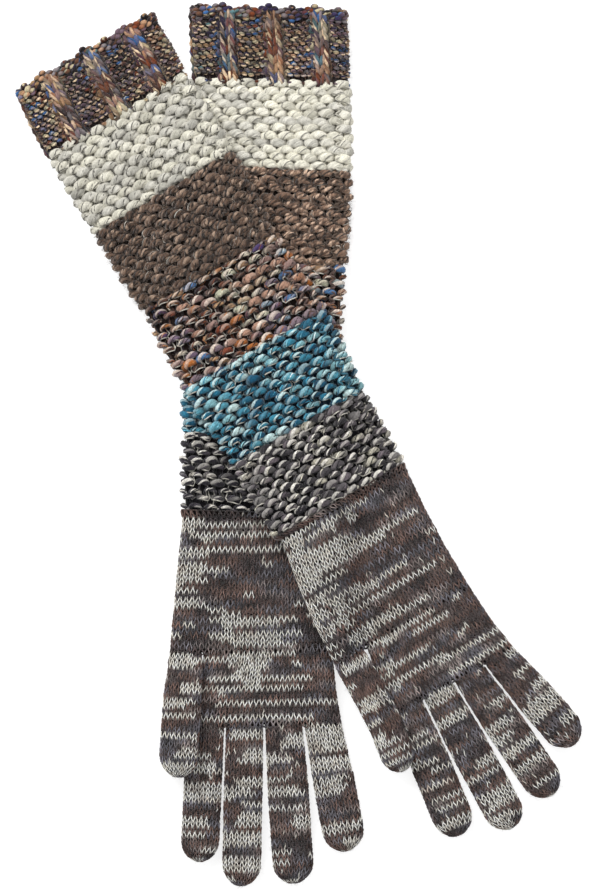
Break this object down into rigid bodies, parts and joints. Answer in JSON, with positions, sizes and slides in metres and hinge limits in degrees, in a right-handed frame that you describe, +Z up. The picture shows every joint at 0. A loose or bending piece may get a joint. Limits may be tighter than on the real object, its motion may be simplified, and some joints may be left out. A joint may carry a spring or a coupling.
{
  "type": "knitted gloves",
  "caption": "Long hand-knitted full-fingered gloves with banded chunky sleeves, laid across each other, with folding cuffs and bending fingers.",
  "frame": {"origin": "middle of the pair's footprint on the surface that it lies on", "axes": "+Z up, +Y towards the mouths of the gloves, +X towards the little fingers"},
  "size_m": [0.3412, 0.5279, 0.0267],
  "materials": {
    "space_dyed_rib": "matte",
    "cream_slub": "matte",
    "brown_mohair": "matte",
    "space_dyed_slub": "matte",
    "teal_slub": "matte",
    "grey_slub": "matte",
    "seam_yarn": "matte",
    "fine_heather_knit": "matte"
  },
  "bodies": {
    "bottom_glove": {"bottom_cream_band": "cream_slub", "bottom_brown_band": "brown_mohair", "bottom_multicolour_band": "space_dyed_slub", "bottom_teal_band": "teal_slub", "bottom_grey_band": "grey_slub", "bottom_side_seam": "seam_yarn", "bottom_wrist_seam": "seam_yarn", "bottom_hand_heel": "fine_heather_knit", "bottom_palm": "fine_heather_knit", "bottom_index_base": "fine_heather_knit", "bottom_middle_base": "fine_heather_knit", "bottom_ring_base": "fine_heather_knit", "bottom_little_base": "fine_heather_knit"},
    "bottom_cuff": {"bottom_cuff": "space_dyed_rib", "bottom_bind_off_edge": "space_dyed_rib"},
    "bottom_thumb": {"bottom_thumb": "fine_heather_knit"},
    "bottom_index": {"bottom_index_tip": "fine_heather_knit"},
    "bottom_middle": {"bottom_middle_tip": "fine_heather_knit"},
    "bottom_ring": {"bottom_ring_tip": "fine_heather_knit"},
    "bottom_little": {"bottom_little_tip": "fine_heather_knit"},
    "top_sleeve": {"top_cream_band": "cream_slub", "top_brown_band": "brown_mohair", "top_multicolour_band": "space_dyed_slub", "top_teal_band": "teal_slub", "top_grey_band": "grey_slub", "top_side_seam": "seam_yarn", "top_wrist_seam": "seam_yarn"},
    "top_cuff": {"top_cuff": "space_dyed_rib", "top_bind_off_edge": "space_dyed_rib"},
    "top_hand": {"top_hand_heel": "fine_heather_knit", "top_palm": "fine_heather_knit", "top_index_base": "fine_heather_knit", "top_middle_base": "fine_heather_knit", "top_ring_base": "fine_heather_knit", "top_little_base": "fine_heather_knit"},
    "top_thumb": {"top_thumb": "fine_heather_knit"},
    "top_index": {"top_index_tip": "fine_heather_knit"},
    "top_middle": {"top_middle_tip": "fine_heather_knit"},
    "top_ring": {"top_ring_tip": "fine_heather_knit"},
    "top_little": {"top_little_tip": "fine_heather_knit"}
  },
  "joints": [
    {"name": "top_glove_lift", "type": "slide", "parent": "bottom_glove", "child": "top_sleeve", "axis": [0, 0, 1], "range_m": [0, 0.12]},
    {"name": "bottom_cuff_fold", "type": "hinge", "parent": "bottom_glove", "child": "bottom_cuff", "pos_m": [-0.0194, 0.2198, 0.0133], "axis": [0.9996, -0.0297, 0], "range_deg": [0, 110]},
    {"name": "bottom_thumb_bend", "type": "hinge", "parent": "bottom_glove", "child": "bottom_thumb", "pos_m": [-0.0681, -0.1242, 0.0115], "axis": [-0.9998, -0.0175, 0], "range_deg": [0, 60]},
    {"name": "bottom_index_bend", "type": "hinge", "parent": "bottom_glove", "child": "bottom_index", "pos_m": [-0.0578, -0.2051, 0.0107], "axis": [-0.9989, 0.0465, 0], "range_deg": [0, 90]},
    {"name": "bottom_middle_bend", "type": "hinge", "parent": "bottom_glove", "child": "bottom_middle", "pos_m": [-0.0334, -0.2046, 0.0107], "axis": [-0.9998, 0.0212, 0], "range_deg": [0, 90]},
    {"name": "bottom_ring_bend", "type": "hinge", "parent": "bottom_glove", "child": "bottom_ring", "pos_m": [-0.0066, -0.2042, 0.0107], "axis": [-0.9978, -0.0668, 0], "range_deg": [0, 90]},
    {"name": "bottom_little_bend", "type": "hinge", "parent": "bottom_glove", "child": "bottom_little", "pos_m": [0.0214, -0.2037, 0.0107], "axis": [-0.9824, -0.1868, 0], "range_deg": [0, 90]},
    {"name": "top_cuff_fold", "type": "hinge", "parent": "top_sleeve", "child": "top_cuff", "pos_m": [-0.109, 0.1994, 0.0195], "axis": [0.8586, 0.4957, 0.131], "range_deg": [0, 120]},
    {"name": "top_wrist_fold", "type": "hinge", "parent": "top_sleeve", "child": "top_hand", "pos_m": [0.0262, -0.0348, 0.027], "axis": [-0.866, -0.5, 0], "range_deg": [0, 90]},
    {"name": "top_thumb_bend", "type": "hinge", "parent": "top_hand", "child": "top_thumb", "pos_m": [0.0299, -0.1262, 0.0208], "axis": [-0.7279, -0.4202, 0.5418], "range_deg": [0, 60]},
    {"name": "top_index_bend", "type": "hinge", "parent": "top_hand", "child": "top_index", "pos_m": [0.0794, -0.1911, 0.0107], "axis": [-0.9256, -0.3786, 0], "range_deg": [0, 90]},
    {"name": "top_middle_bend", "type": "hinge", "parent": "top_hand", "child": "top_middle", "pos_m": [0.1012, -0.1786, 0.0107], "axis": [-0.8789, -0.477, 0], "range_deg": [0, 90]},
    {"name": "top_ring_bend", "type": "hinge", "parent": "top_hand", "child": "top_ring", "pos_m": [0.1227, -0.1661, 0.0107], "axis": [-0.8247, -0.5656, 0], "range_deg": [0, 90]},
    {"name": "top_little_bend", "type": "hinge", "parent": "top_hand", "child": "top_little", "pos_m": [0.1446, -0.1535, 0.0107], "axis": [-0.7557, -0.655, 0], "range_deg": [0, 90]}
  ]
}
